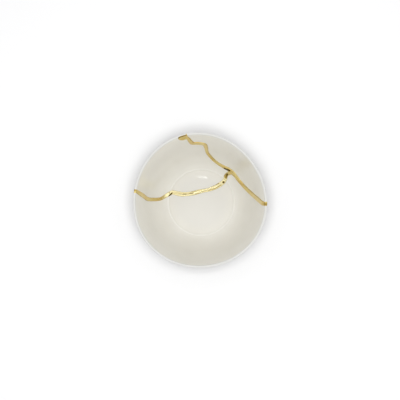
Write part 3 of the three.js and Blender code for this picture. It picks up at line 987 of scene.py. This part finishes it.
def gold_finish():
    """Gold on lacquer: satin and bright by turns, redder in patches, with a painted sheen in the well and
    painted dark lines of shade and dark reflection.
    """
    finish, tree, shader = new_finish("polished_gold")
    patches = between(tree, spotted(tree, GOLD_PATCHES, FINE), *PATCH_SPAN)
    tone = mixed(tree, patches, *GOLD_TONES)
    height = add_node(tree, "ShaderNodeSeparateXYZ", {"Vector": own_place(tree)}).outputs["Z"]
    # Painted highlight: paler gold in the well
    tone = mixed(tree, band(tree, height, *WELL_SHEEN_EDGES), tone, WELL_GOLD_SHEEN)
    # Painted shade and dark reflections: the marked lines turn the gold brown, then near black
    bare = add_node(tree, "ShaderNodeAttribute", attribute_name="painted_dark").outputs["Fac"]
    tone = mixed(tree, between(tree, bare, *SHADED_GOLD_EDGE), tone, SHADED_GOLD)
    tone = mixed(tree, between(tree, bare, *PAINTED_SHADOW_EDGE), tone, PAINTED_SHADOW)
    feed(tree, shader, {
        "Base Color": tone, "Metallic": 1.0,
        "Roughness": between(tree, spotted(tree, GOLD_GLOSS_PATCHES), *NOISE_SPAN, *GOLD_GLOSS),
        "Normal": bumped(tree, spotted(tree, GOLD_RIPPLES, SOFT), GOLD_BUMP),
    })
    return finish


def floor_finish():
    finish, tree, shader = new_finish("pale_floor")
    colour = mixed(tree, spotted(tree, FLOOR_CLOUDS), *FLOOR_TONES)
    feed(tree, shader, {"Base Color": colour, "Roughness": FLOOR_ROUGHNESS})
    return finish


glaze = glaze_finish()
gold = gold_finish()


# The pieces

def middle_of(mesh):
    points = corners_of(mesh)
    return Vector((points.min(0) + points.max(0)) / 2)


def make_sherds():
    """The thrown bowl, chipped and broken along the seams."""
    radius, height = skin.profile.T
    points = np.stack([radius, height, 0 * radius], axis=1)
    section = polyline("bowl_section", points, reach=radius, height=height)
    bowl = grown("bowl", section, throwing_tree(), {
        "Segments": TURN_SEGMENTS, "Rim radius": RIM_RADIUS, "Height": HEIGHT,
        "Oval": OVAL, "Oval azimuth": OVAL_AZIMUTH, "Lobes": LOBES, "Lobe azimuth": LOBE_AZIMUTH,
        "Unevenness": UNEVENNESS, "Wave size": WAVE_SIZE, "Seed": float(SEED), "Finish": glaze,
    })
    outward_faces(bowl)
    cracks = [seam.joint(CRACK, CUT_PAST_FACES, CUT_PAST_LIP) for seam in seams]
    broken = combined(bowl, [*cracks, chip_solid("chip", CHIP_LAP, whole_chip)], "DIFFERENCE")
    parts = loose_parts(broken)
    for node in ("sherd_lower", "sherd_upper_left", "sherd_upper_right"):
        middle = sum(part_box(node), Vector()) / 2
        mesh = min(parts, key=lambda part: (middle_of(part) - middle).length)
        parts.remove(mesh)
        smooth(mesh, SHERD_CREASE)
        piece = show("glazed_" + node, mesh)
        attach(piece, "root")
        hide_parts(node)


def paint_dark_lines(mesh):
    """Marks the bead inside the bowl where lines of painted shade and dark reflection go."""
    points = corners_of(mesh)[:, :2]
    facing_up = np.array([corner.normal.z >= 0 for corner in mesh.vertices])
    bare = np.zeros(len(points))
    for x0, y0, x1, y1, reach, darkness in PAINTED_DARK_LINES:
        start = np.array([x0, y0]) * MM
        run = np.array([x1 - x0, y1 - y0]) * MM
        share = np.clip((points - start) @ run / (run @ run), 0, 1)
        away = np.linalg.norm(points - start - share[:, None] * run, axis=1)
        bare = np.maximum(bare, darkness * np.clip(DARK_LINE_FADE - away / (reach * MM), 0, 1))
    values = mesh.attributes.new("painted_dark", "FLOAT", "POINT").data
    values.foreach_set("value", (bare * facing_up).astype(np.float32))


def make_gold():
    """The beads on both faces, the lacquer between the sherds and the filled chip, as one piece."""
    tree = bead_tree()
    sizes = {
        "Step": BEAD_STEP, "Sides": BEAD_SIDES, "Rise": BEAD_RISE, "Buried": BEAD_BURIED,
        "Strand depth": STRAND_DEPTH, "Strand length": STRAND_LENGTH,
        "Edge wander": EDGE_WANDER, "Wander length": WANDER_LENGTH, "Finish": gold,
    }
    beads = []
    for seed, seam in enumerate(seams, SEED):
        bead = grown(seam.name, seam.bead_route(), tree, {**sizes, "Seed": float(seed)})
        beads.append(outward_faces(bead))
    fills = [seam.joint(FILL, 0.0, LIP_WALL / 2) for seam in seams]
    chip_fill = chip_solid("chip_fill", 0.0, filled_chip)
    mesh = combined(beads[0], [*beads[1:], *fills, chip_fill], "UNION")
    for corner in mesh.vertices:
        corner.co.z = max(corner.co.z, FOOT_CLEARANCE)
    smooth(mesh, BEAD_CREASE)
    paint_dark_lines(mesh)
    piece = show("gold_bead", mesh)
    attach(piece, "root")
    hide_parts("gold_seam")


# The studio

def make_floor():
    mesh = bpy.data.meshes.new("floor")
    corners = [(x * FLOOR_REACH, y * FLOOR_REACH, 0) for x, y in ((-1, -1), (1, -1), (1, 1), (-1, 1))]
    mesh.from_pydata(corners, [], [(0, 1, 2, 3)])
    floor = show("floor", mesh)
    mesh.materials.append(floor_finish())
    return floor


def facing(place, target):
    """A turn that points an object's -Z from one place to another, with +Y as up."""
    back = (Vector(place) - Vector(target)).normalized()
    right = Vector((0, 1, 0)).cross(back).normalized()
    up = back.cross(right)
    turn = Matrix((right, up, back)).transposed().to_4x4()
    turn.translation = place
    return turn


def hang_softbox(name, place, size, glow):
    """A soft rectangular light that faces the bowl."""
    light = bpy.data.lights.new(name, "AREA")
    light.shape = "RECTANGLE"
    light.size, light.size_y = size
    light.energy = SOFTBOX_POWER * glow * size[0] * size[1]
    holder = show(name, light)
    holder.matrix_world = facing(place, (0, 0, HEIGHT / 2))
    return holder


def hang_sky():
    """A pale room: a lighter ceiling, a bright panel at the back, two soft windows, a lighter front."""
    world = bpy.data.worlds.new("studio")
    bpy.context.scene.world = world
    world.use_nodes = True
    tree = world.node_tree
    towards = add_node(tree, "ShaderNodeTexCoord").outputs["Generated"]
    axis = add_node(tree, "ShaderNodeSeparateXYZ", {"Vector": towards}).outputs
    sideways = worked_out(tree, "ABSOLUTE", axis["X"])

    def window(way, edge, glow):
        near = add_node(tree, "ShaderNodeVectorMath", {0: towards, 1: way}, operation="DOT_PRODUCT")
        return between(tree, near.outputs["Value"], *edge, 0.0, glow - CEILING_GLOW)

    ceiling = between(tree, axis["Z"], *CEILING_UP, ROOM_GLOW, CEILING_GLOW)
    panel = times(tree, between(tree, axis["Y"], *PANEL_BACK), between(tree, axis["Z"], *PANEL_UP),
                  between(tree, sideways, *PANEL_SIDE, PANEL_GLOW - CEILING_GLOW, 0.0))
    gap = times(tree, band(tree, axis["Y"], GAP_START, GAP_END), between(tree, axis["Z"], *GAP_UP),
                between(tree, sideways, *GAP_SIDE, GAP_GLOW - CEILING_GLOW, 0.0))
    front = times(tree, between(tree, axis["Y"], *FRONT_BACK, 0.0, FRONT_GLOW - CEILING_GLOW),
                  between(tree, axis["Z"], *FRONT_UP))
    windows = plus(tree, window(*LEFT_WINDOW), window(*RIGHT_WINDOW))
    glow = plus(tree, ceiling, panel, gap, windows, front)
    feed(tree, tree.nodes["Background"], {"Color": (1, 1, 1, 1), "Strength": glow})


def light_studio(floor):
    """The sky, a softbox for the bowl, a lamp for the floor alone, and a strip that shows in the well."""
    hang_sky()
    overhead = hang_softbox("overhead", *OVERHEAD)
    overhead.visible_glossy = False
    table_lamp = hang_softbox("table_lamp", *TABLE_LAMP)
    table_lamp.visible_glossy = False
    table_lamp.visible_camera = False
    # Each of the two lamps lights only what its collection lets it
    only_floor = bpy.data.collections.new("only the floor")
    only_floor.objects.link(floor)
    table_lamp.light_linking.receiver_collection = only_floor
    not_floor = bpy.data.collections.new("all but the floor")
    not_floor.objects.link(floor)
    not_floor.collection_objects[0].light_linking.link_state = "EXCLUDE"
    overhead.light_linking.receiver_collection = not_floor
    hang_softbox("strip_lamp", *STRIP_LAMP)
    bpy.context.scene.view_settings.view_transform = "Standard"


def set_camera():
    camera = bpy.data.cameras.new("camera")
    camera.sensor_width = SENSOR
    camera.lens = SENSOR * CAMERA_HEIGHT / (PHOTO_SIZE * PIXEL)
    holder = show("camera", camera)
    middle = PHOTO_SIZE / 2
    target = Vector(((middle - RIM_PIXEL[0]) * PIXEL, (RIM_PIXEL[1] - middle) * PIXEL, HEIGHT))
    lean = Vector((math.cos(CAMERA_AZIMUTH), math.sin(CAMERA_AZIMUTH), 0)) * math.sin(CAMERA_LEAN)
    lean.z = math.cos(CAMERA_LEAN)
    holder.matrix_world = facing(target + lean * CAMERA_HEIGHT, target)
    bpy.context.scene.camera = holder


make_sherds()
make_gold()
light_studio(make_floor())
set_camera()
